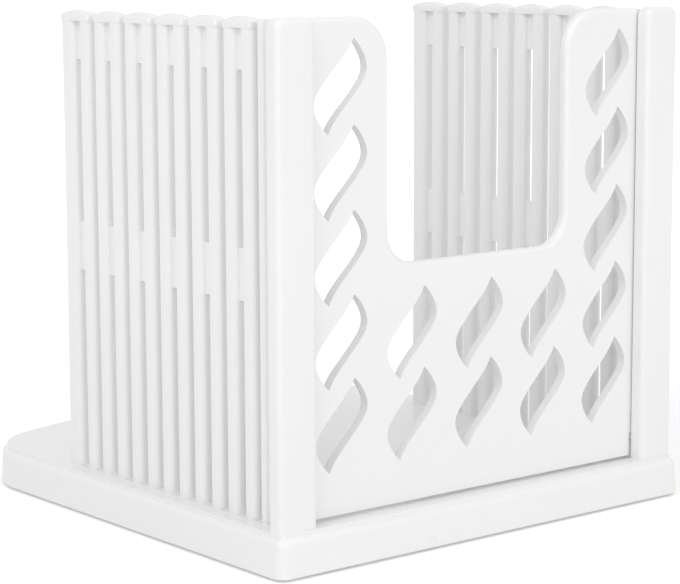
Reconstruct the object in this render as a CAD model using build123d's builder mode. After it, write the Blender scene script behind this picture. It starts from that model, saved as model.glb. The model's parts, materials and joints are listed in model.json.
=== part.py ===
"""Bread slicer guide: a flat base, two plug-in comb walls and a fold-back stop panel with leaf cut-outs.

Millimetres, +Z up. The origin is the middle of the footprint, on the surface the feet stand on.
-Y is the stop panel's end, +Y is the open, rounded end that the loaf sticks out of, and X runs across.
"""

from build123d import *
import os
from math import sqrt

# ---------------------------------------------------------------- driving dimensions
overall_height = 155.0  # table to the crests of the comb fingers

# base board
base_width = 161.0
base_depth = 177.0
board_top = 12.0  # top of the board's rounded rim, above the table
deck_rise = 1.0  # the raised deck inside the rim
deck_inset = 1.9  # rim left bare outside the deck
deck_thickness = 3.2
base_skirt = 2.4  # thickness of the board's side walls
base_draft = 2.5  # degrees that the board's sides lean in
rim_fillet = 2.2
front_corner_radius = 3.5
rear_corner_radius = 26.0
rear_arc_radius = 190.0  # the shallow bow of the open end

# rubber feet
foot_radius = 6.0
foot_thickness = 2.6
foot_proud = 0.9  # how far the feet stand below the board
foot_boss_wall = 2.0
foot_side_margin = 20.5  # foot centre from the board's long sides
foot_front_margin = 14.0
foot_rear_margin = 30.0

# comb walls and their sockets
wall_outer_inset = 6.5  # a wall's outer face from the board's long side
wall_thickness = 5.0
slice_pitch = 16.4
finger_count = 6
first_slot_inset = 19.2  # centre of the first knife slot from the board's front edge
knife_slot = 2.6
finger_width = 13.8
bar_thickness = 4.8
bar_width = 4.6
bar_setback = 0.1  # a bar's outer side behind the side of its head
bar_corner_radius = 2.0
end_bar_extra = 1.8  # the last finger and its outer bar are wider by this much
head_height = 15.0  # solid head that joins the two bars at the top
head_corner_radius = 1.2
head_overlap = 1.0  # the bars run this far up into their head
crown_rise = 2.4  # dome of each head, along the comb
crown_shoulder = 2.2  # rounding of each head, across the comb
crown_ridge_spare = 0.35  # that rounding's own crest stays above the dome, so the two never touch there
head_groove_radius = 1.5
head_groove_depth = 0.7
bridge_top_drop = 65.0  # from the crests down to the bridge between the bars
bridge_height = 15.0
bridge_thickness = 3.0
tongue_thickness = 3.4
tongue_depth = 8.6  # below the deck
tongue_front_margin = 1.2  # tongue's front end behind the post's front face
socket_clearance = 0.25  # each side of the tongue
socket_wall = 1.9
socket_floor_gap = 0.4  # under the tongue

# corner posts, the front ends of the comb walls
post_front_inset = 2.6  # front face of the post from the board's front edge
post_thickness = 4.4
post_outer_wing = 4.6  # beyond the wall's outer face
post_inner_lip = 3.9  # beyond the wall's inner face, in front of the stop panel
post_top_radius = 3.0
post_edge_fillet = 1.7
post_web_drop = 0.5  # the post's web ends this far below its front

# stop panel
panel_thickness = 3.0
panel_wall_gap = 0.7  # panel's edge to a comb wall's inner face
panel_lip_gap = 0.4  # panel's front face to the post's lip
panel_lift = 1.0  # panel's lower edge above the deck
panel_top_drop = 0.3  # panel's top below the finger crests
panel_front_fillet = 1.6
panel_back_fillet = 0.5
panel_outer_radius = 3.0
hand_gap_radius = 10.0  # lower corners of the U between the two limbs
limb_radius = 12.0

# leaf cut-outs
leaf_rows = 5
leaf_columns = 5
leaf_rows_under_gap = 2
leaf_foot_margin = 26.7  # centre of the lowest row above the deck
leaf_top_margin = 5.9  # uppermost tips below the panel's top
leaf_lip_margin = 3.1  # outermost leaves to the post's lip
leaf_limb_margin = 8.2  # innermost point of the outer leaves to the U
leaf_floor_margin = 7.05  # tips of the lower rows to the U's floor
# one side of a leaf, from its upper tip to its lower tip; the other side is the same turned half round
leaf_side = [(4.6, 13.3), (8.2, 9.0), (9.4, 4.4), (7.4, 0.6), (0.2, -6.9), (-4.6, -13.3)]

# the stop panel's hinge
hinge_height = 3.0  # hinge axis above the deck
pin_radius = 1.2
pin_clearance = 0.06
pin_wall_gap = 0.4  # pin's end to the comb wall
ear_thickness = 2.8
ear_wall = 1.6
ear_panel_gap = 0.6
ear_wall_gap = 1.1
ear_lip_gap = 0.5  # ear to the back of the post's lip
notch_height = 7.4  # the panel's lower corners are cut away over this height for the ears

# ---------------------------------------------------------------- derived places
front_y = -base_depth / 2
rear_y = base_depth / 2
board_bottom = foot_proud
deck_top = board_top + deck_rise
deck_underside = deck_top - deck_thickness

wall_x = base_width / 2 - wall_outer_inset - wall_thickness / 2
wall_outer_x = wall_x + wall_thickness / 2
wall_inner_x = wall_x - wall_thickness / 2
post_front_y = front_y + post_front_inset
post_back_y = post_front_y + post_thickness
post_outer_x = wall_outer_x + post_outer_wing
post_inner_x = wall_inner_x - post_inner_lip

first_slot_y = front_y + first_slot_inset
finger_centres = [first_slot_y + slice_pitch * (index + 0.5) for index in range(finger_count)]
stub_end_y = first_slot_y - knife_slot / 2
comb_end_y = finger_centres[-1] + finger_width / 2 + end_bar_extra
head_bottom = overall_height - head_height
bar_offset = finger_width / 2 - bar_setback - bar_width / 2  # bar's centre from its finger's centre
# centre and width of every head, and of every bar, along the wall; the last ones are wider
heads = [(centre_y, finger_width) for centre_y in finger_centres]
heads[-1] = (comb_end_y - (finger_width + end_bar_extra) / 2, finger_width + end_bar_extra)
bars = [(centre_y + side * bar_offset, bar_width) for centre_y in finger_centres for side in (-1, 1)]
bars[-1] = (comb_end_y - bar_setback - (bar_width + end_bar_extra) / 2, bar_width + end_bar_extra)
crown_foot = overall_height - max(crown_rise, crown_shoulder)

tongue_front_y = post_front_y + tongue_front_margin
tongue_bottom = deck_top - tongue_depth
socket_front_y = tongue_front_y - socket_clearance
socket_rear_y = comb_end_y + socket_clearance
socket_width = tongue_thickness + 2 * socket_clearance

panel_front_y = post_back_y + panel_lip_gap
panel_middle_y = panel_front_y + panel_thickness / 2
panel_half_width = wall_inner_x - panel_wall_gap
panel_bottom = deck_top + panel_lift
panel_top = overall_height - panel_top_drop

# the rows and columns of leaves fill the panel between the posts' lips, and the U stands clear of them
leaf_half_width = max(x for x, z in leaf_side)
leaf_half_height = leaf_side[0][1]
leaf_lowest_centre = deck_top + leaf_foot_margin
leaf_top_centre = panel_top - leaf_top_margin - leaf_half_height
leaf_row_pitch = (leaf_top_centre - leaf_lowest_centre) / (leaf_rows - 1)
outer_leaf_x = post_inner_x - leaf_lip_margin - leaf_half_width
leaf_column_pitch = 2 * outer_leaf_x / (leaf_columns - 1)
hand_gap_width = 2 * (outer_leaf_x - leaf_half_width - leaf_limb_margin)
row_under_gap = leaf_lowest_centre + (leaf_rows_under_gap - 1) * leaf_row_pitch
hand_gap_floor = row_under_gap + leaf_half_height + leaf_floor_margin

hinge_y = panel_middle_y
hinge_z = deck_top + hinge_height
ear_outer_x = wall_inner_x - ear_wall_gap
ear_inner_x = ear_outer_x - ear_thickness
notch_x = ear_inner_x - ear_panel_gap
pin_end_x = wall_inner_x - pin_wall_gap
ear_front_y = post_back_y + ear_lip_gap
ear_reach = pin_radius + ear_wall

foot_x = base_width / 2 - foot_side_margin
front_foot_y = front_y + foot_front_margin
rear_foot_y = rear_y - foot_rear_margin
foot_places = {
    "front_left_foot": (-foot_x, front_foot_y),
    "front_right_foot": (foot_x, front_foot_y),
    "rear_left_foot": (-foot_x, rear_foot_y),
    "rear_right_foot": (foot_x, rear_foot_y),
}

os.makedirs("parts", exist_ok=True)


# ---------------------------------------------------------------- base
def board_outline(inset=0.0):
    """The board's plan: square at the stop end, bowed with large corners at the open end."""
    with BuildSketch(mode=Mode.PRIVATE) as outline:
        Rectangle(base_width, base_depth)
        with Locations((0, rear_y - rear_arc_radius)):
            Circle(rear_arc_radius, mode=Mode.INTERSECT)
        fillet(outline.vertices().group_by(Axis.Y)[0], front_corner_radius)
        fillet(outline.vertices().group_by(Axis.Y)[-1], rear_corner_radius)
        if inset:
            offset(amount=-inset, mode=Mode.REPLACE)
    return outline.sketch


with BuildPart() as base:
    # the board, with leaning sides and a rounded rim
    with BuildSketch(Plane.XY.offset(board_bottom)):
        add(board_outline())
    extrude(amount=board_top - board_bottom, taper=base_draft)
    fillet(base.faces().sort_by(Axis.Z)[-1].edges(), rim_fillet)

    # the raised deck that the loaf lies on, begun below the rim's rounding
    with BuildSketch(Plane.XY.offset(board_top - rim_fillet)):
        add(board_outline(deck_inset))
    extrude(amount=rim_fillet + deck_rise)

    # the hollow underside; the strips under the comb walls and the foot bosses are left standing
    strip_inner_x = wall_x - socket_width / 2 - socket_wall
    strip_width = base_width / 2 - strip_inner_x
    strip_centre_x = strip_inner_x + strip_width / 2
    with BuildSketch(Plane.XY.offset(board_bottom)):
        add(board_outline(base_skirt))
        with Locations((-strip_centre_x, 0), (strip_centre_x, 0)):
            Rectangle(strip_width, base_depth, mode=Mode.SUBTRACT)
        with Locations(*foot_places.values()):
            Circle(foot_radius + foot_boss_wall, mode=Mode.SUBTRACT)
    extrude(amount=deck_underside - board_bottom, mode=Mode.SUBTRACT)

    # the recesses that the feet sit in
    with BuildSketch(Plane.XY.offset(board_bottom)):
        with Locations(*foot_places.values()):
            Circle(foot_radius)
    extrude(amount=foot_thickness - foot_proud, mode=Mode.SUBTRACT)

    # the two long sockets for the comb walls' tongues
    with BuildSketch(Plane.XY.offset(deck_top)):
        with Locations(
            (-wall_x, (socket_front_y + socket_rear_y) / 2),
            (wall_x, (socket_front_y + socket_rear_y) / 2),
        ):
            Rectangle(socket_width, socket_rear_y - socket_front_y)
    extrude(amount=-(tongue_depth + socket_floor_gap), mode=Mode.SUBTRACT)

    # the two ears that carry the stop panel's hinge pins
    for ear_x in (-(ear_inner_x + ear_outer_x) / 2, (ear_inner_x + ear_outer_x) / 2):
        with BuildSketch(Plane.YZ.offset(ear_x)):
            with BuildLine():
                Polyline(
                    (hinge_y + ear_reach, hinge_z),
                    (hinge_y + ear_reach, deck_underside),
                    (ear_front_y, deck_underside),
                    (ear_front_y, hinge_z + ear_reach),
                    (hinge_y, hinge_z + ear_reach),
                )
                ThreePointArc(
                    (hinge_y, hinge_z + ear_reach),
                    (hinge_y + ear_reach / sqrt(2), hinge_z + ear_reach / sqrt(2)),
                    (hinge_y + ear_reach, hinge_z),
                )
            make_face()
        extrude(amount=ear_thickness / 2, both=True)
    with BuildSketch(Plane.YZ):
        with Locations((hinge_y, hinge_z)):
            Circle(pin_radius + pin_clearance)
    extrude(amount=ear_outer_x + ear_panel_gap, both=True, mode=Mode.SUBTRACT)

base.part.label = "base"
export_step(base.part, "parts/base.step")


# ---------------------------------------------------------------- rubber feet
for foot_name, foot_place in foot_places.items():
    with BuildPart() as foot:
        with BuildSketch():
            with Locations(foot_place):
                Circle(foot_radius)
        extrude(amount=foot_thickness)
        fillet(foot.faces().sort_by(Axis.Z)[0].edges(), foot_proud / 2)
    foot.part.label = foot_name
    export_step(foot.part, f"parts/{foot_name}.step")


# ---------------------------------------------------------------- comb walls
with BuildPart() as post_flange:
    # the flat front of the corner post, standing on the deck
    with BuildSketch(Plane.XZ.offset(-post_front_y)) as flange_face:
        with Locations(((post_inner_x + post_outer_x) / 2, (deck_top + overall_height) / 2)):
            Rectangle(post_outer_x - post_inner_x, overall_height - deck_top)
        fillet(flange_face.vertices().group_by(Axis.Y)[-1], post_top_radius)
    extrude(amount=-post_thickness)
    front_edges = post_flange.faces().sort_by(Axis.Y)[0].edges()
    fillet(front_edges.sort_by(Axis.Z)[1:], post_edge_fillet)

with BuildPart() as right_comb_wall:
    # the solid heads of the fingers and the post's web, seen from above
    with BuildSketch(Plane.XY.offset(deck_top)):
        with Locations((wall_x, (post_front_y + post_edge_fillet + stub_end_y) / 2)):
            Rectangle(wall_thickness, stub_end_y - post_front_y - post_edge_fillet)
    extrude(amount=overall_height - deck_top)
    with BuildSketch(Plane.XY.offset(head_bottom)):
        for head_y, head_width in heads:
            with Locations((wall_x, head_y)):
                RectangleRounded(wall_thickness, head_width, head_corner_radius)
    extrude(amount=head_height)

    # domed along the comb: everything is kept under one scalloped outline
    with BuildSketch(Plane.YZ.offset(wall_x)):
        with BuildLine():
            Polyline(
                (comb_end_y, crown_foot),
                (comb_end_y, deck_top),
                (front_y, deck_top),
                (front_y, overall_height - post_web_drop),
                (stub_end_y + knife_slot / 2, overall_height - post_web_drop),
                (stub_end_y + knife_slot / 2, crown_foot),
            )
            crown_start_y = stub_end_y + knife_slot / 2
            for centre_y in finger_centres:
                crown_end_y = centre_y + (finger_width + knife_slot) / 2
                if centre_y == finger_centres[-1]:
                    crown_end_y = comb_end_y
                ThreePointArc(
                    (crown_start_y, crown_foot),
                    ((crown_start_y + crown_end_y) / 2, crown_foot + crown_rise),
                    (crown_end_y, crown_foot),
                )
                crown_start_y = crown_end_y
        make_face()
    extrude(amount=wall_thickness, both=True, mode=Mode.INTERSECT)

    # rounded across the comb: everything is kept under one ridged section
    with BuildSketch(Plane.XZ.offset(-comb_end_y)):
        with BuildLine():
            Polyline(
                (wall_outer_x, overall_height - crown_shoulder),
                (wall_outer_x, deck_top),
                (wall_inner_x, deck_top),
                (wall_inner_x, overall_height - crown_shoulder),
            )
            ThreePointArc(
                (wall_inner_x, overall_height - crown_shoulder),
                (wall_x, overall_height + crown_ridge_spare),
                (wall_outer_x, overall_height - crown_shoulder),
            )
        make_face()
    extrude(amount=comb_end_y - front_y, mode=Mode.INTERSECT)

    # a shallow groove down the middle of each head, on both faces
    groove_offset = wall_thickness / 2 + head_groove_radius - head_groove_depth
    with BuildSketch(Plane.XY.offset(head_bottom)):
        with Locations(*[(wall_x - groove_offset, centre_y) for centre_y in finger_centres]):
            Circle(head_groove_radius)
        with Locations(*[(wall_x + groove_offset, centre_y) for centre_y in finger_centres]):
            Circle(head_groove_radius)
    extrude(amount=crown_foot - head_bottom, mode=Mode.SUBTRACT)

    # two bars under each head, down to the deck
    with BuildSketch(Plane.XY.offset(deck_top)):
        for bar_y, width in bars:
            with Locations((wall_x, bar_y)):
                RectangleRounded(bar_thickness, width, bar_corner_radius)
    extrude(amount=head_bottom + head_overlap - deck_top)

    # the bridge between the two bars of each finger
    with BuildSketch(Plane.XY.offset(overall_height - bridge_top_drop - bridge_height)):
        with Locations(*[(wall_x, centre_y) for centre_y in finger_centres]):
            Rectangle(bridge_thickness, 2 * bar_offset)
    extrude(amount=bridge_height)

    # the tongue that plugs into the base
    with BuildSketch(Plane.XY.offset(tongue_bottom)):
        with Locations((wall_x, (tongue_front_y + comb_end_y) / 2)):
            Rectangle(tongue_thickness, comb_end_y - tongue_front_y)
    extrude(amount=tongue_depth)

    add(post_flange.part)

with BuildPart() as left_comb_wall:
    mirror(right_comb_wall.part, about=Plane.YZ)

right_comb_wall.part.label = "right_comb_wall"
export_step(right_comb_wall.part, "parts/right_comb_wall.step")
left_comb_wall.part.label = "left_comb_wall"
export_step(left_comb_wall.part, "parts/left_comb_wall.step")


# ---------------------------------------------------------------- leaf stop panel
with BuildPart() as leaf_stop_panel:
    # a plate with a wide U cut out of its top and its lower corners notched round the hinge ears
    with BuildSketch(Plane.XZ.offset(-panel_front_y)) as plate:
        with Locations((0, (panel_bottom + panel_top) / 2)):
            Rectangle(2 * panel_half_width, panel_top - panel_bottom)
        with Locations((0, (hand_gap_floor + panel_top) / 2)):
            Rectangle(hand_gap_width, panel_top - hand_gap_floor, mode=Mode.SUBTRACT)
        top_corners = plate.vertices().group_by(Axis.Y)[-1].sort_by(Axis.X)
        fillet(top_corners[1:-1], limb_radius)
        fillet(plate.vertices().filter_by(lambda v: abs(v.Y - hand_gap_floor) < 0.01), hand_gap_radius)
        top_corners = plate.vertices().filter_by(lambda v: abs(v.X) > panel_half_width - 0.01)
        fillet(top_corners.filter_by(lambda v: v.Y > hand_gap_floor), panel_outer_radius)
    extrude(amount=-panel_thickness)
    rounded = panel_bottom + notch_height
    front_edges = leaf_stop_panel.faces().sort_by(Axis.Y)[0].edges()
    fillet(front_edges.filter_by(lambda e: e.center().Z > rounded), panel_front_fillet)
    back_edges = leaf_stop_panel.faces().sort_by(Axis.Y)[-1].edges()
    fillet(back_edges.filter_by(lambda e: e.center().Z > rounded), panel_back_fillet)

    # the notches round the ears
    notch_width = panel_half_width - notch_x
    with BuildSketch(Plane.XZ.offset(-panel_front_y)):
        for notch_side in (-1, 1):
            with Locations((notch_side * (notch_x + panel_half_width) / 2, panel_bottom + notch_height / 2)):
                Rectangle(notch_width, notch_height)
    extrude(amount=-panel_thickness, mode=Mode.SUBTRACT)

    # the leaf cut-outs: five rows in the outer columns, the lowest two rows between them
    with BuildSketch(Plane.XZ.offset(-panel_front_y)):
        for column in range(leaf_columns):
            rows = leaf_rows if column in (0, leaf_columns - 1) else leaf_rows_under_gap
            leaf_x = (column - (leaf_columns - 1) / 2) * leaf_column_pitch
            for row in range(rows):
                with Locations((leaf_x, leaf_lowest_centre + row * leaf_row_pitch)):
                    with BuildSketch(Plane.XY, mode=Mode.PRIVATE) as leaf:
                        with BuildLine():
                            Spline(*leaf_side)
                            Spline(*[(-x, -z) for x, z in leaf_side])
                        make_face()
                    add(leaf.sketch)
    extrude(amount=-panel_thickness, mode=Mode.SUBTRACT)

    # the hinge pins on the two lower ends of the plate
    for pin_plane in (Plane.YZ.offset(notch_x), Plane.YZ.offset(-notch_x)):
        with BuildSketch(pin_plane):
            with Locations((hinge_y, hinge_z)):
                Circle(pin_radius)
        reach = pin_end_x - notch_x
        extrude(amount=reach if pin_plane.origin.X > 0 else -reach)

leaf_stop_panel.part.label = "leaf_stop_panel"
export_step(leaf_stop_panel.part, "parts/leaf_stop_panel.step")
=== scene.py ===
# %% [markdown]
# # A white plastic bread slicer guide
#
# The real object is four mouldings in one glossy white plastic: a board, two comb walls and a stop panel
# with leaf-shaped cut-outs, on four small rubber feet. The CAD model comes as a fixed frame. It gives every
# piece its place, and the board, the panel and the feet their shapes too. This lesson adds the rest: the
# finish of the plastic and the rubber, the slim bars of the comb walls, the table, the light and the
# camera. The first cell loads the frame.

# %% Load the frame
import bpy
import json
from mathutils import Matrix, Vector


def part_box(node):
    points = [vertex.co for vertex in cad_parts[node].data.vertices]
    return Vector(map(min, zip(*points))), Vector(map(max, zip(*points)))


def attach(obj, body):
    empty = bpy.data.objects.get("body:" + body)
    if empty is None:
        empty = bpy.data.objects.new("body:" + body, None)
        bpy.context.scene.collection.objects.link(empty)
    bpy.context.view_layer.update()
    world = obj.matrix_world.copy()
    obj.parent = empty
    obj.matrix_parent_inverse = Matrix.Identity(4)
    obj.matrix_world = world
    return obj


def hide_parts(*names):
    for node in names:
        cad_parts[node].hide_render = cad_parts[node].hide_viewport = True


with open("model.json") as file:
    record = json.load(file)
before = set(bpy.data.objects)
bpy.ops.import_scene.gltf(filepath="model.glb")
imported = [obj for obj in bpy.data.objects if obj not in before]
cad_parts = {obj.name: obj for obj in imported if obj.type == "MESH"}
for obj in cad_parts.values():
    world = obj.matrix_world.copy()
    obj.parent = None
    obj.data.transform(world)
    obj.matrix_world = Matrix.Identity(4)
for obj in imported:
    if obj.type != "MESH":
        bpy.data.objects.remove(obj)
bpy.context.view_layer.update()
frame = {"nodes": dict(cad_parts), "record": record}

import json
import math
import bmesh
import bpy
import numpy as np
from mathutils import Matrix, Vector

# %% [markdown]
# ## Writing a finish as sums
#
# A material is a graph of nodes, and wiring it by hand hides the idea in dozens of lines. Here one small
# class wraps a node's output and gives it plus and times, so a finish reads like the formula it is. Every
# other node comes from a single method that takes its type, its settings and what goes into its sockets.


# %% Wires that can be added and multiplied
class Wire:
    """An output socket. Adding or multiplying it makes a Math node."""

    def __init__(self, tree, socket):
        self.tree = tree
        self.socket = socket

    def combined(self, operation, first, second):
        """A Math node of that operation on two values, either of which may be a number."""
        node = self.tree.nodes.new("ShaderNodeMath")
        node.operation = operation
        plug(self.tree, node.inputs[0], first)
        plug(self.tree, node.inputs[1], second)
        return Wire(self.tree, node.outputs[0])

    def __add__(self, other):
        return self.combined("ADD", self, other)

    def __radd__(self, other):
        return self.combined("ADD", other, self)

    def __mul__(self, other):
        return self.combined("MULTIPLY", self, other)

    def __rmul__(self, other):
        return self.combined("MULTIPLY", other, self)


def plug(tree, socket, value):
    """Links a wire into a socket, or sets the socket to a plain value."""
    if isinstance(value, Wire):
        tree.links.new(value.socket, socket)
    else:
        socket.default_value = value


# %% A bench that makes nodes
class Bench:
    """A material's or a world's node tree, emptied, with one method for every kind of node."""

    def __init__(self, owner):
        owner.use_nodes = True
        self.tree = owner.node_tree
        self.tree.nodes.clear()

    def add(self, kind, settings=None, sockets=None, out=0):
        """Makes a node, sets its settings, feeds its sockets, and returns one of its outputs as a wire."""
        node = self.tree.nodes.new(kind)
        for name, value in (settings or {}).items():
            setattr(node, name, value)
        for name, value in (sockets or {}).items():
            plug(self.tree, node.inputs[name], value)
        if len(node.outputs) == 0:
            return None
        return Wire(self.tree, node.outputs[out])

    def between(self, amount, low, high):
        """A colour that runs from low to high as amount goes from 0 to 1."""
        # Several sockets of the Mix node share a name, so they are picked by their numbers.
        factor, first_colour, second_colour, mixed_colour = 0, 6, 7, 2
        return self.add(
            "ShaderNodeMix",
            {"data_type": "RGBA", "clamp_factor": True},
            {factor: amount, first_colour: (*low, 1.0), second_colour: (*high, 1.0)},
            out=mixed_colour,
        )

    def looked_at(self):
        """1 for rays from the camera, a reflection or a clear thing, and 0 for rays that light the object."""
        seen = self.add("ShaderNodeLightPath", out="Is Camera Ray")
        mirrored = self.add("ShaderNodeLightPath", out="Is Glossy Ray")
        clear = self.add("ShaderNodeLightPath", out="Is Transmission Ray")
        return seen + mirrored + clear


def new_material(name):
    """A fresh material and the bench to build it on."""
    material = bpy.data.materials.new(name)
    return material, Bench(material)


# %% [markdown]
# ## Glossy white moulded plastic
#
# The guide is injection-moulded in white plastic. It is not a perfect mirror: the skin has a faint ripple
# about a millimetre across, like the peel of a fruit, and a slower waviness where the plastic shrank as it
# cooled. The colour drifts by a percent or so along the flow of the plastic. A painted texture would need a
# picture for every moulding. Noise on the object's own coordinates needs none, so one finish suits them
# all: the ripple and the slow wave drive the bump, the slow wave drives the roughness, and a third, wider
# noise drives the colour.

# %% White plastic
white_plastic, bench = new_material("moulded_white_plastic")
place = bench.add("ShaderNodeTexCoord", out="Object")
slow_wave = bench.add("ShaderNodeTexNoise", None, {"Vector": place, "Scale": 24.0, "Detail": 2.0})
flow = bench.add("ShaderNodeTexNoise", None, {"Vector": place, "Scale": 9.0, "Detail": 1.0})
peel = bench.add("ShaderNodeTexNoise", None, {"Vector": place, "Scale": 900.0, "Detail": 1.0})
peel_share = 0.25
relief = peel * peel_share + slow_wave * (1.0 - peel_share)
rippled = bench.add("ShaderNodeBump", None, {"Height": relief, "Strength": 0.12, "Distance": 0.0006})
dim_white, bright_white = (0.858, 0.858, 0.853), (0.885, 0.886, 0.884)
colour = bench.between(flow, dim_white, bright_white)
least_roughness, added_roughness = 0.24, 0.12
roughness = least_roughness + slow_wave * added_roughness
surface = bench.add(
    "ShaderNodeBsdfPrincipled",
    None,
    {"Base Color": colour, "Roughness": roughness, "Normal": rippled, "IOR": 1.5},
)
bench.add("ShaderNodeOutputMaterial", None, {"Surface": surface})
print("white plastic nodes", len(bench.tree.nodes))

# %% [markdown]
# ## Black rubber feet
#
# The feet are small discs of black rubber, seen only from below or as a dark line under the board. Rubber
# is matt, a little dusty, and has a fine grain from its mould. A plain black would do at this size, but two
# noises cost nothing: a fine one gives the bump of the grain, and a slower one lightens the colour where
# dust sits.

# %% Rubber
foot_rubber, bench = new_material("black_foot_rubber")
place = bench.add("ShaderNodeTexCoord", out="Object")
grain = bench.add("ShaderNodeTexNoise", None, {"Vector": place, "Scale": 2200.0, "Detail": 2.0})
dust = bench.add("ShaderNodeTexNoise", None, {"Vector": place, "Scale": 160.0, "Detail": 3.0})
grained = bench.add("ShaderNodeBump", None, {"Height": grain, "Strength": 0.3, "Distance": 0.0002})
clean_black, dusty_black = (0.020, 0.020, 0.021), (0.075, 0.074, 0.072)
colour = bench.between(dust * dust, clean_black, dusty_black)
least_roughness, added_roughness = 0.62, 0.25
roughness = least_roughness + dust * added_roughness
surface = bench.add(
    "ShaderNodeBsdfPrincipled",
    None,
    {"Base Color": colour, "Roughness": roughness, "Normal": grained},
)
bench.add("ShaderNodeOutputMaterial", None, {"Surface": surface})
print("rubber nodes", len(bench.tree.nodes))

# %% [markdown]
# ## Dressing the mouldings
#
# Every CAD node takes a new material in its slots. The board, the panel and the feet keep their own meshes.
# Their faces are mostly flat or rolled and most of their edges are real fillets, so they get no bevel; the
# edges of the leaf cut-outs stay crisp. The two comb walls are dressed here as well, but the finer walls
# further on stand in for them.

# %% Hand out the finishes
finish_of_slot = {"white_plastic": white_plastic, "foot_rubber": foot_rubber}
slot_of_node = {entry["node"]: entry["material_slot"] for entry in frame["record"]["subparts"]}
for node_name, node in frame["nodes"].items():
    finish = finish_of_slot[slot_of_node[node_name]]
    if not node.material_slots:
        node.data.materials.append(finish)
    for slot in node.material_slots:
        slot.material = finish
    print(node_name, "->", finish.name, len(node.data.polygons), "faces")

# %% [markdown]
# ## The comb walls
#
# Each wall of the real guide is one moulding: slim bars in six pairs, a domed cap over every pair, webs
# that tie a pair together at its head and half way down, and a corner post with a flat front. The CAD node
# gives the wall its place, its reach and its knife slots, but it has a solid head on each pair, and the
# photograph shows bars that run on up to the cap. So the finer form is made here and stands in for the
# node. A wall could be cut from a block or built up from extruded curves. Here every member is a stack of
# rings, because rings can be carried straight, drawn in or domed, and a single function skins them all.


# %% Loops, stacks and skins
def rounded_loop(half_x, half_y, radius, steps=7):
    """A loop round a rectangle: a corner is a quarter circle about a corner of the drawn-in rectangle."""
    quarter = np.arange(4)[:, None] * np.pi / 2 + np.linspace(0.0, np.pi / 2, steps + 1)
    side = np.arange(4)[:, None] * np.pi / 2 + np.pi / 4
    x = np.sign(np.cos(side)) * (half_x - radius) + radius * np.cos(quarter)
    y = np.sign(np.sin(side)) * (half_y - radius) + radius * np.sin(quarter)
    return np.stack([x, y], axis=-1).reshape(-1, 2)


def skin(rings):
    """Rings of equally many points: neighbours are joined by quads, and each end is closed by one face."""
    count, around, _ = rings.shape
    row = np.arange(count - 1)[:, None] * around
    column = np.arange(around)[None, :]
    along = (column + 1) % around
    quads = np.stack([row + column, row + along, row + around + along, row + around + column], axis=-1)
    first = np.arange(around)[::-1].tolist()
    last = ((count - 1) * around + np.arange(around)).tolist()
    return rings.reshape(-1, 3), quads.reshape(-1, 4).tolist() + [first, last]


def upright(loop, x, y, low, high):
    """A loop carried straight up: its points are moved to (x, y) and stand at height low, then at high."""
    ends = np.array([low, high])[:, None]
    flat = np.broadcast_to(loop + (x, y), (2, len(loop), 2))
    return skin(np.concatenate([flat, np.broadcast_to(ends, (2, len(loop)))[..., None]], axis=-1))


def joined(members):
    """Closed skins put one after the other into a single list of points and a single list of faces."""
    starts = np.cumsum([0] + [len(points) for points, _ in members[:-1]])
    faces = [
        [index + int(start) for index in face]
        for start, (_, part) in zip(starts, members)
        for face in part
    ]
    return np.concatenate([points for points, _ in members]), faces


# %% Sizes that the whole wall shares
mm = 0.001
wall_low, wall_high = (np.array(corner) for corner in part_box("right_comb_wall"))
crest = float(wall_high[2])
comb_end = float(wall_high[1])
post_front = float(wall_low[1])
deck = 13.0 * mm
wall_middle = 71.5 * mm
wall_thickness = 5.0 * mm
knife_slot = 2.6 * mm
post_depth = 16.6 * mm
first_slot = post_front + post_depth
plain_corner_steps = 2
print("comb from", round(first_slot, 4), "to", round(comb_end, 4), "crest", round(crest, 4))

# %% [markdown]
# ## A finger of the comb
#
# On the real guide a finger is what stands between two knife slots: two slim bars under one domed cap. The
# webs that tie the bars are not seen themselves. They are told from the light that falls through between
# the bars of the far wall, which starts below the head and stops half way down, so they are made thin and
# set well back. The cap could be a block with bevelled edges. It is worked out instead, because its top
# follows two arcs at once, a long low one along the wall and a short steep one across it, and the lower of
# the two at every point gives the crease where they meet. The bars stand a hair inside the cap's sides: two
# faces in the same plane would show as dark specks. The last finger of a wall is a little wider than the
# others.

# %% Sizes of a finger
slice_pitch = 16.4 * mm
finger_count = 6
finger_width = 13.8 * mm
end_extra = 1.8 * mm
bar_width = 5.3 * mm
bar_setback = 0.08 * mm
bar_rounding = 1.9 * mm
web_thickness = 1.5 * mm
web_rounding = 0.2 * mm
web_height = 15.0 * mm
bridge_drop = 65.0 * mm
dome_rise = 2.4 * mm
shoulder_drop = 2.2 * mm
ridge_spare = 0.35 * mm
cap_skirt = 0.9 * mm
cap_foot = crest - dome_rise - cap_skirt
cap_overlap = 0.3 * mm
cap_rounding = 1.2 * mm
cap_rings = 10
last_ring_share = 0.04
print("slit between two bars, in mm", round((finger_width - 2 * (bar_width + bar_setback)) / mm, 2))


# %% A cap and its pair of bars
def arc_height(offset, half_span, rise):
    """Height of a circular arc over its chord, at that offset from the middle of the chord."""
    radius = (half_span**2 + rise**2) / (2.0 * rise)
    return np.sqrt(radius**2 - offset**2) - (radius - rise)


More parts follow.
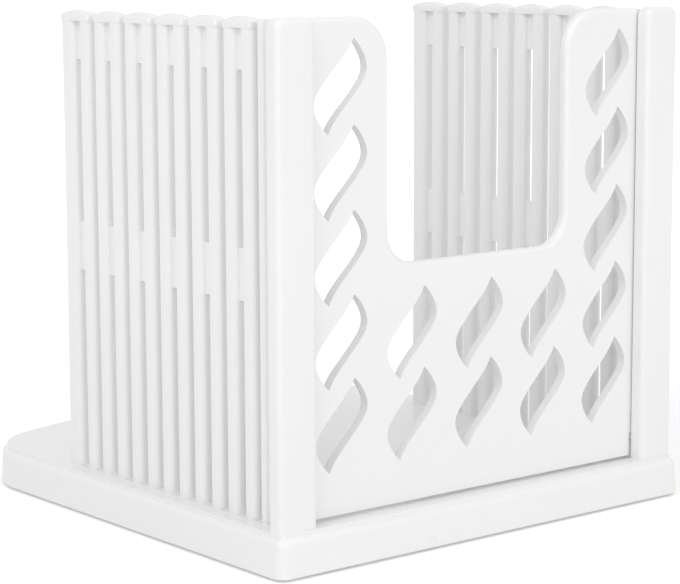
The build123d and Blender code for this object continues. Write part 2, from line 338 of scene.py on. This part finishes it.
def domed_cap(middle, width):
    """Rings shrink from the cap's loop to its middle; a point takes the lower of the dome and the ridge."""
    loop = rounded_loop(wall_thickness / 2, width / 2, cap_rounding)
    shrink = np.linspace(1.0, last_ring_share, cap_rings)[:, None, None]
    flat = np.concatenate([loop[None], shrink * loop])
    dome = crest - dome_rise + arc_height(flat[..., 1], (width + knife_slot) / 2, dome_rise)
    ridge = crest - shoulder_drop + arc_height(flat[..., 0], wall_thickness / 2, shoulder_drop + ridge_spare)
    height = np.minimum(dome, ridge)
    height[0] = cap_foot
    return skin(np.concatenate([flat + (wall_middle, middle), height[..., None]], axis=-1))


def finger(index):
    """A cap, its two bars from the deck up to it, and the webs between them at the head and half way."""
    start = first_slot + knife_slot / 2 + index * slice_pitch
    extra = end_extra if index == finger_count - 1 else 0.0
    width = finger_width + extra
    middle = start + width / 2
    bar_half = wall_thickness / 2 - bar_setback
    near = rounded_loop(bar_half, bar_width / 2, bar_rounding)
    far = rounded_loop(bar_half, (bar_width + extra) / 2, bar_rounding)
    near_middle = start + bar_setback + bar_width / 2
    far_middle = start + width - bar_setback - (bar_width + extra) / 2
    web = rounded_loop(web_thickness / 2, (width - bar_width) / 2, web_rounding, plain_corner_steps)
    under_cap = cap_foot + cap_overlap
    bridge_top = crest - bridge_drop
    return [
        domed_cap(middle, width),
        upright(near, wall_middle, near_middle, deck, under_cap),
        upright(far, wall_middle, far_middle, deck, under_cap),
        upright(web, wall_middle, middle, crest - web_height, under_cap),
        upright(web, wall_middle, middle, bridge_top - web_height, bridge_top),
    ]


# %% [markdown]
# ## The corner post and the tongue
#
# At the stop panel's end each wall closes with a post: a flat front with two rounded upper corners, a web
# behind it, and a rib that edges the first knife slot. Under the deck the whole wall runs on as a blade
# that plugs into the board. The front could be a bevelled block, but a bevel would round its foot as well,
# and the foot stands flat on the deck. So an arched outline is carried back instead, drawn in and rounded
# at its front edge only.

# %% Sizes of the post and the tongue
plate_thickness = 4.4 * mm
plate_rounding = 1.7 * mm
plate_corner = 3.0 * mm
plate_steps = 8
rib_width = 2.8 * mm
rib_rounding = 1.2 * mm
rib_drop = 0.6 * mm
post_web_thickness = 3.0 * mm
post_web_drop = 0.1 * mm
tongue_thickness = 3.4 * mm
tongue_inset = 1.2 * mm
tongue_rounding = 0.3 * mm
print("tongue reaches from", round(float(wall_low[2]), 4), "up to the deck at", deck)


# %% Plate, rib and blade
def post_front_plate():
    """An arched outline carried back: it starts drawn in by the rounding and swells on a quarter circle."""
    quarter = np.linspace(0.0, np.pi / 2, plate_steps)
    inset = np.append(plate_rounding * (1.0 - np.sin(quarter)), 0.0)[:, None]
    back = np.append(plate_rounding * (1.0 - np.cos(quarter)), plate_thickness)[:, None]
    low_x, high_x = float(wall_low[0]), float(wall_high[0])
    rise = crest - plate_corner + (plate_corner - inset) * np.sin(quarter)
    left = low_x + plate_corner - (plate_corner - inset) * np.cos(quarter)
    right = high_x - plate_corner + (plate_corner - inset) * np.cos(quarter)
    foot = np.full_like(inset, deck)
    x = np.concatenate([low_x + inset, left, right[:, ::-1], high_x - inset], axis=1)
    z = np.concatenate([foot, rise, rise[:, ::-1], foot], axis=1)
    return skin(np.stack([x, np.broadcast_to(post_front + back, x.shape), z], axis=-1))


def corner_post():
    """The flat front, the web behind it, and the rib that edges the first knife slot."""
    top = crest - rib_drop
    slot_edge = first_slot - knife_slot / 2
    rib = rounded_loop(wall_thickness / 2, rib_width / 2, rib_rounding)
    web_front = post_front + plate_thickness / 2
    web_back = slot_edge - rib_width / 2
    web = rounded_loop(post_web_thickness / 2, (web_back - web_front) / 2, web_rounding, plain_corner_steps)
    return [
        post_front_plate(),
        upright(web, wall_middle, (web_front + web_back) / 2, deck, top - post_web_drop),
        upright(rib, wall_middle, slot_edge - rib_width / 2, deck, top),
    ]


def tongue():
    """The blade under the wall that plugs into the board."""
    front = post_front + tongue_inset
    blade = rounded_loop(tongue_thickness / 2, (comb_end - front) / 2, tongue_rounding, plain_corner_steps)
    return [upright(blade, wall_middle, (front + comb_end) / 2, float(wall_low[2]), deck)]


members = [member for index in range(finger_count) for member in finger(index)] + corner_post() + tongue()
wall_points, wall_faces = joined(members)
print("members of a wall", len(members), "points", len(wall_points))

# %% [markdown]
# ## Two walls from one set of points
#
# The real walls mirror each other, so one set of points serves both. A Mirror modifier would put both into
# a single object, and they have to be two, because each wall lifts off by itself. Changing the sign of x
# turns every face inside out, so the faces are turned outwards again. Faces that meet at a small angle are
# shaded as one smooth surface, and those that meet at a larger one keep a crisp edge.

# %% Two walls
largest_smooth_angle = math.radians(32.0)


def wall_piece(name, side):
    """The wall's points with x times side, so that -1 mirrors them, and with the faces turned outwards."""
    mesh = bpy.data.meshes.new(name)
    mesh.from_pydata((wall_points * (side, 1.0, 1.0)).tolist(), [], wall_faces)
    shell = bmesh.new()
    shell.from_mesh(mesh)
    bmesh.ops.recalc_face_normals(shell, faces=shell.faces)
    shell.to_mesh(mesh)
    shell.free()
    mesh.polygons.foreach_set("use_smooth", np.ones(len(mesh.polygons), dtype=bool))
    mesh.set_sharp_from_angle(angle=largest_smooth_angle)
    mesh.materials.append(white_plastic)
    piece = bpy.data.objects.new(name, mesh)
    bpy.context.scene.collection.objects.link(piece)
    return piece


for side_name, side in (("left", -1.0), ("right", 1.0)):
    wall = wall_piece(side_name + "_wall_moulding", side)
    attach(wall, side_name + "_wall")
    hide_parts(side_name + "_comb_wall")
    print(wall.name, len(wall.data.polygons), "faces")

# %% [markdown]
# ## The table
#
# The guide stands on a plain white surface that runs on past the picture. A flat disc is enough, made of
# rings whose radii grow by a steady factor, so it is fine near the object and coarse far off. It stays a
# matt white that takes the object's soft shadow. Seen by the camera it gets a little light of its own, more
# the further out it is, so that it fades into the white behind it without a horizon.


# %% A round table top
def disc_surface(inner, outer, rings, spokes):
    """Flat rings: ring k has radius inner * (outer / inner) ** (k / rings), with points at equal angles."""
    radius = inner * (outer / inner) ** (np.arange(rings + 1) / rings)
    angle = np.linspace(0.0, 2.0 * np.pi, spokes, endpoint=False)
    x, y = np.outer(radius, np.cos(angle)), np.outer(radius, np.sin(angle))
    ring_points = np.stack([x, y, np.zeros_like(x)], axis=-1)
    points = np.concatenate([np.zeros((1, 3)), ring_points.reshape(-1, 3)])
    near = 1 + np.arange(spokes)
    hub = np.stack([np.zeros(spokes, dtype=int), near, np.roll(near, -1)], axis=-1)
    row = np.arange(rings)[:, None] * spokes
    column = np.arange(spokes)[None, :]
    along = (column + 1) % spokes
    quads = np.stack([row + column, row + spokes + column, row + spokes + along, row + along], axis=-1) + 1
    return points, hub.tolist() + quads.reshape(-1, 4).tolist()


table_points, table_faces = disc_surface(inner=0.02, outer=8.0, rings=48, spokes=96)
table_mesh = bpy.data.meshes.new("table_top")
table_mesh.from_pydata(table_points.tolist(), [], table_faces)
table_top = bpy.data.objects.new("table_top", table_mesh)
bpy.context.scene.collection.objects.link(table_top)
print("table faces", len(table_faces))

# %% Table finish
table_finish, bench = new_material("white_table")
place = bench.add("ShaderNodeTexCoord", out="Object")
from_middle = bench.add("ShaderNodeVectorMath", {"operation": "LENGTH"}, {0: place}, out="Value")
far_off = bench.add(
    "ShaderNodeMapRange",
    {"interpolation_type": "SMOOTHSTEP"},
    {"Value": from_middle, "From Min": 0.16, "From Max": 0.9, "To Min": 0.0, "To Max": 1.0},
)
least_glow = 0.26
own_light = bench.looked_at() * (least_glow + far_off * (1.0 - least_glow))
glow = bench.add("ShaderNodeEmission", None, {"Color": (1.0, 1.0, 1.0, 1.0), "Strength": own_light})
matt = bench.add("ShaderNodeBsdfDiffuse", None, {"Color": (0.90, 0.90, 0.90, 1.0)})
both = bench.add("ShaderNodeAddShader", None, {0: glow, 1: matt})
bench.add("ShaderNodeOutputMaterial", None, {"Surface": both})
table_mesh.materials.append(table_finish)
print("table finish nodes", len(bench.tree.nodes))

# %% [markdown]
# ## Soft studio light
#
# White plastic in front of a white background only shows its form where its sides differ in brightness. One
# strong lamp would do that with hard shadows, so the room gives an even light from everywhere and three
# large lamps only shift the balance. The first, ahead of the stop panel, brightens the faces that look
# towards it. The second stands low at the near corner, where it catches the rounded edges of the comb's
# bars. The third hangs high on the left, so that it reaches over the left wall and lightens the inside of
# the right one. Only rays that come from the camera, a reflection or a clear thing see the room as pure
# white.

# %% Room light
room = bpy.data.worlds.new("studio_room")
bpy.context.scene.world = room
bench = Bench(room)
room_level = 0.66
strength = room_level + bench.looked_at() * (1.0 - room_level)
backdrop = bench.add("ShaderNodeBackground", None, {"Color": (1.0, 1.0, 1.0, 1.0), "Strength": strength})
bench.add("ShaderNodeOutputWorld", None, {"Surface": backdrop})
print("room light", room_level)


# %% Lamps
def soft_lamp(name, place, target, size, power):
    """A square lamp of that side length, turned so that it faces the target."""
    lamp = bpy.data.lights.new(name, "AREA")
    lamp.shape = "SQUARE"
    lamp.size = size
    lamp.energy = power
    holder = bpy.data.objects.new(name, lamp)
    bpy.context.scene.collection.objects.link(holder)
    holder.location = place
    holder.rotation_euler = (Vector(target) - Vector(place)).to_track_quat("-Z", "Y").to_euler()
    print(name, power, "W")


guide_middle = (0.0, 0.0, 0.075)
soft_lamp("panel_lamp", (0.30, -1.25, 0.70), guide_middle, size=0.9, power=3.4)
soft_lamp("comb_lamp", (-0.75, -1.05, 0.45), guide_middle, size=0.9, power=1.7)
soft_lamp("crown_lamp", (-0.85, -0.25, 1.05), guide_middle, size=0.8, power=4.2)

# %% [markdown]
# ## The camera
#
# The photograph was taken from the stop panel's end, to the left, and from a little above the tops of the
# walls. The angles, the distance and the focal length were found by fitting a camera to the board's edges,
# the comb lines and the tips of the leaves. A camera looks along its own -Z with +Y up, so its three
# directions are worked out from the two angles and then rolled by a fraction of a degree.

# %% Camera
turn = math.radians(-39.108)
rise = math.radians(8.742)
roll = math.radians(-0.222)
ahead = Vector((-math.sin(turn) * math.cos(rise), math.cos(turn) * math.cos(rise), -math.sin(rise)))
level = Vector((math.cos(turn), math.sin(turn), 0.0))
above = level.cross(ahead)
sideways = level * math.cos(roll) + above * math.sin(roll)
upwards = above * math.cos(roll) - level * math.sin(roll)

view_lens = bpy.data.cameras.new("photo_camera")
view_lens.sensor_width = 36.0
view_lens.lens = 118.87
view_lens.clip_start = 0.01
view_lens.clip_end = 50.0
photo_camera = bpy.data.objects.new("photo_camera", view_lens)
bpy.context.scene.collection.objects.link(photo_camera)
tripod = Matrix.Translation((-0.44538, -0.56358, 0.17366))
photo_camera.matrix_world = tripod @ Matrix((sideways, upwards, -ahead)).transposed().to_4x4()
bpy.context.scene.camera = photo_camera
print("camera looks along", [round(x, 3) for x in ahead])

# %% [markdown]
# ## Colour as written
#
# The Standard view shows a colour as it is written, which suits an object whose colour is nearly the
# background's.

# %% Finish
bpy.context.scene.view_settings.view_transform = "Standard"
